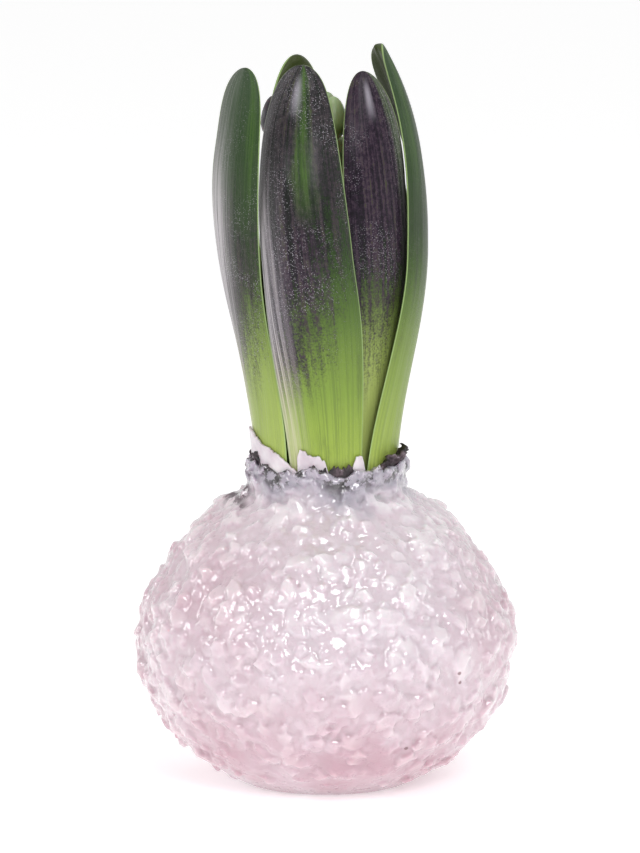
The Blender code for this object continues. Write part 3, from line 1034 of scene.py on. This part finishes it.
def film(name, first, last, tops, finish, surface):
    """A thin tongue of wax on the leaves, its torn top edge through (share across, height) points."""
    seed = first * 0.37

    def place(across, along):
        azimuth = mix(first, last, across)
        for (a, height_a), (b, height_b) in zip(tops, tops[1:]):
            if across <= b:
                break
        top = mix(height_a, height_b, (across - a) / (b - a)) + rough(azimuth * 0.5, 0.0, seed) * 0.5
        height = mix(FILM_FOOT, top, along) * MM
        start = around(azimuth, 30 * MM, height)
        hit = surface.ray_cast(start, around(azimuth, 0.0, height) - start, 30 * MM)[0]
        radius = (hit - around(azimuth, 0.0, height)).length if hit else FILM_RADIUS
        wobble = rough(azimuth * 0.12, height * 300, seed) * 0.12 * MM
        return around(azimuth, max(radius, FILM_RADIUS) + FILM_LIFT + wobble, height)

    return shell(name, 50, 20, place, FILM_THICKNESS, finish)


def neck(blades):
    """Dry skins and wax films where the leaves leave the wax."""
    surface = leaf_surface(blades)
    skin, wax = skin_finish(), film_finish()
    for name, first, last, top, lean, crumple in (
        ("tunic_left", 170, 230, 59.2, 0.8, 0.6),
        ("tunic_front", 243, 297, 58.8, 0.7, 0.7),
        ("tunic_right", 316, 372, 60.6, 1.6, 1.8),
        ("tunic_back", 60, 130, 60.5, 0.9, 0.7),
    ):
        put_on(dry_skin(name + "_torn", first, last, top, lean, crumple, skin), "dry_skin", name)
    left_top = ((0.0, 58.5), (0.15, 64.4), (0.3, 64.0), (0.5, 62.4), (0.78, 61.0), (1.0, 58.0))
    front_top = ((0.0, 60.5), (0.1, 62.2), (0.35, 61.4), (0.7, 61.0), (0.85, 60.2), (1.0, 57.8))
    for name, first, last, tops in (
        ("film_left", 172, 246, left_top),
        ("film_front", 247, 272, front_top),
        ("film_knob", 290, 302, ((0.0, 58.0), (0.3, 60.9), (0.7, 61.0), (1.0, 58.0))),
        ("film_back", 80, 150, ((0.0, 58.0), (0.3, 61.5), (0.7, 61.0), (1.0, 58.0))),
    ):
        put_on(film(name, first, last, tops, wax, surface), "wax")


# ---------------------------------------------------------------- spike


def stalk_centre(height):
    share = (height - BULB_TOP) / (STALK_TOP - BULB_TOP)
    return AXIS + SPIKE_LEAN * share * share + Vector((0, 0, height))


def flower_stalk():
    rings, uvs = [], []
    rows, sides = 40, 28
    for row in range(rows + 1):
        share = row / rows
        height = mix(BULB_TOP + GAP, STALK_TOP, share)
        radius = STALK_RADIUS * mix(1.0, STALK_TAPER, share)
        ring = []
        for i in range(sides):
            angle = 2 * math.pi * i / sides
            reach = radius * (1 + 0.03 * math.cos(5 * angle))
            ring.append(stalk_centre(height) + Vector((reach * math.cos(angle), reach * math.sin(angle), 0)))
        rings.append(ring)
        uvs.append([(i / sides, share) for i in range(sides)])
    put_on(loft("flower_stalk_ribbed", rings, uvs, stalk_finish()), "stalk", "flower_stalk")


def bud(reach, finish):
    """One closed floret: a stem that leaves sideways and turns upright, three plump segments, a blunt tip."""
    rings, uvs = [], []
    rows, sides = 13, 15
    for row in range(rows + 1):
        turn = math.pi * mix(0.04, 0.97, row / rows)
        share = (1 - math.cos(turn)) / 2
        belly = math.sin(turn) * mix(FLORET_STEM, 1.0, smooth((share - SWELL_FROM) / (SWELL_TO - SWELL_FROM)))
        out = reach * math.sin(min(1.0, share / FLORET_BEND) * math.pi / 2)
        ring = []
        for i in range(sides):
            angle = 2 * math.pi * i / sides
            groove = 1 - 0.12 * smooth(share * 2) * (1 - abs(math.cos(1.5 * angle))) ** 2
            across = FLORET_RADIUS * belly * groove
            flat = (across * math.cos(angle) + out, across * math.sin(angle))
            ring.append(Vector((*flat, FLORET_LENGTH * share)))
        rings.append(ring)
        uvs.append([(i / sides, share) for i in range(sides)])
    return loft("bud", rings, uvs, finish)


def spike_tree(shape, finish):
    """Nodes that set a bud on each point, turned by the point's attribute."""
    tree = bpy.data.node_groups.new("spike", "GeometryNodeTree")
    tree.interface.new_socket("Feet", in_out="INPUT", socket_type="NodeSocketGeometry")
    tree.interface.new_socket("Florets", in_out="OUTPUT", socket_type="NodeSocketGeometry")
    given = make(tree, "NodeGroupInput")
    turn = make(tree, "GeometryNodeInputNamedAttribute", {0: "turn"}, data_type="FLOAT_VECTOR").outputs[0]
    shown = make(tree, "GeometryNodeObjectInfo", {"Object": shape})
    rotation = make(tree, "FunctionNodeEulerToRotation", {0: turn}).outputs[0]
    laid = make(
        tree,
        "GeometryNodeInstanceOnPoints",
        {
            "Points": given.outputs[0],
            "Instance": shown.outputs["Geometry"],
            "Rotation": rotation,
        },
    )
    real = make(tree, "GeometryNodeRealizeInstances", {0: laid.outputs[0]})
    painted = make(tree, "GeometryNodeSetMaterial", {"Geometry": real.outputs[0], "Material": finish})
    result = make(tree, "NodeGroupOutput")
    tree.links.new(painted.outputs[0], result.inputs[0])
    return tree


def florets():
    """Tiers of closed buds round the stalk, each tier half a step on from the last, and one on its end."""
    feet, turns, tints = [], [], []
    for tier in range(FLORET_TIERS):
        height = FIRST_TIER_AT + tier * TIER_STEP
        stalk = STALK_RADIUS * mix(1.0, STALK_TAPER, (height - BULB_TOP) / (STALK_TOP - BULB_TOP))
        for place in range(FLORETS_A_TIER):
            azimuth = FIRST_AZIMUTH + 360 / FLORETS_A_TIER * (place + tier / 2)
            feet.append(stalk_centre(height) + around(azimuth, stalk + FLORET_GAP, 0.0) - AXIS)
            turns.append((0.0, 0.0, math.radians(azimuth)))
            tints.append(smooth(0.5 + 1.2 * math.cos(math.radians(azimuth - GREEN_SIDE))))
    finish = floret_finish()
    spike = grown("spike_florets", feet, turns, tints, FLORET_REACH, finish)
    top = grown("top_floret", [stalk_centre(STALK_TOP + GAP)], [(0.0, 0.0, 0.0)], [0.4], 0.0, finish)
    put_on(spike, "floret", *[f"floret_{n + 1:02d}" for n in range(len(feet))])
    put_on(top, "floret", f"floret_{len(feet) + 1:02d}")


def grown(name, feet, turns, tints, reach, finish):
    """Buds set on their feet, each with its turn and its share of green."""
    mesh = bpy.data.meshes.new(name)
    mesh.from_pydata(feet, [], [])
    angles = [angle for turn in turns for angle in turn]
    mesh.attributes.new("turn", "FLOAT_VECTOR", "POINT").data.foreach_set("vector", angles)
    mesh.attributes.new("tint", "FLOAT", "POINT").data.foreach_set("value", tints)
    made = bpy.data.objects.new(name, mesh)
    bpy.context.scene.collection.objects.link(made)
    shape = bud(reach, finish)
    modifier = made.modifiers.new("florets", "NODES")
    modifier.node_group = spike_tree(shape, finish)
    applied(made)
    bpy.data.objects.remove(shape)
    return made


# ---------------------------------------------------------------- studio


def studio():
    """White floor and soft lights from both sides and above."""
    finish, _, shader, _ = finish_of("floor")
    set_sockets(shader, {"Base Color": (0.95, 0.95, 0.95, 1.0), "Roughness": 0.8, "Specular IOR Level": 0.1})
    set_sockets(shader, {"Emission Color": (1.0, 1.0, 1.0, 1.0), "Emission Strength": 0.38})
    mesh = bpy.data.meshes.new("floor")
    work = bmesh.new()
    bmesh.ops.create_grid(work, x_segments=1, y_segments=1, size=4.0)
    work.to_mesh(mesh)
    work.free()
    floor = new_object("floor", mesh, finish)
    floor.location.z = -0.02 * MM

    world = bpy.data.worlds.new("studio")
    bpy.context.scene.world = world
    world.use_nodes = True
    sky = world.node_tree.nodes["Background"]
    sky.inputs[0].default_value = (1.0, 1.0, 1.0, 1.0)
    tree = world.node_tree
    direction = make(tree, "ShaderNodeTexCoord").outputs["Generated"]
    depth = make(tree, "ShaderNodeSeparateXYZ", {0: direction}).outputs[1]
    tree.links.new(spread(tree, depth, -0.7, 0.6, 0.42, 0.78), sky.inputs[1])

    middle = Vector((0.0, 0.0, 0.055))
    for name, azimuth, elevation, distance, width, power in (
        ("key", 286, 30, 0.60, 0.24, 1.45),
        ("fill", 222, 24, 0.60, 0.16, 0.5),
        ("left_rim", 165, 15, 0.55, 0.12, 0.2),
        ("right_rim", 15, 15, 0.55, 0.12, 0.1),
        ("top", 270, 72, 0.60, 0.16, 0.6),
    ):
        lamp = bpy.data.lights.new(name, "AREA")
        lamp.size = width
        lamp.energy = power
        holder = bpy.data.objects.new(name, lamp)
        bpy.context.scene.collection.objects.link(holder)
        tilt, turn = math.radians(elevation), math.radians(azimuth)
        away = Vector((math.cos(tilt) * math.cos(turn), math.cos(tilt) * math.sin(turn), math.sin(tilt)))
        holder.location = middle + away * distance
        holder.rotation_euler = away.to_track_quat("Z", "Y").to_euler()

    bpy.context.scene.view_settings.view_transform = "Standard"


def camera():
    """Ten degrees above level, straight from the front, far off with a long lens."""
    lens = bpy.data.cameras.new("camera")
    made = bpy.data.objects.new("camera", lens)
    bpy.context.scene.collection.objects.link(made)
    elevation, distance = math.radians(10), 1.20
    target = Vector((-1.1 * MM, 0.0, 64.2 * MM))
    away = Vector((0.0, -math.cos(elevation), math.sin(elevation)))
    made.location = target + away * distance
    made.rotation_euler = away.to_track_quat("Z", "Y").to_euler()
    lens.sensor_fit = "AUTO"
    lens.sensor_width = 36.0
    picture_height = 153.1 * MM  # what the frame's long side takes in at the plant
    lens.lens = 36.0 * distance / picture_height
    lens.clip_start, lens.clip_end = 0.01, 20.0
    bpy.context.scene.camera = made


def bulb():
    """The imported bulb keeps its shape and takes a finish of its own."""
    finish, tree, shader, place = finish_of("bulb_flesh")
    clouds = grain(tree, place, 200.0, 4.0)
    tone = ramp(tree, clouds, [(0.3, colour(150, 128, 112)), (0.7, colour(206, 190, 170))])
    tree.links.new(tone, shader.inputs["Base Color"])
    set_sockets(shader, {"Roughness": 0.6})
    materials = frame["nodes"]["bulb"].data.materials
    materials.clear()
    materials.append(finish)


def main():
    camera()
    studio()
    wax_coating()
    neck([leaf(law) for law in LEAVES])
    flower_stalk()
    florets()
    bulb()


main()
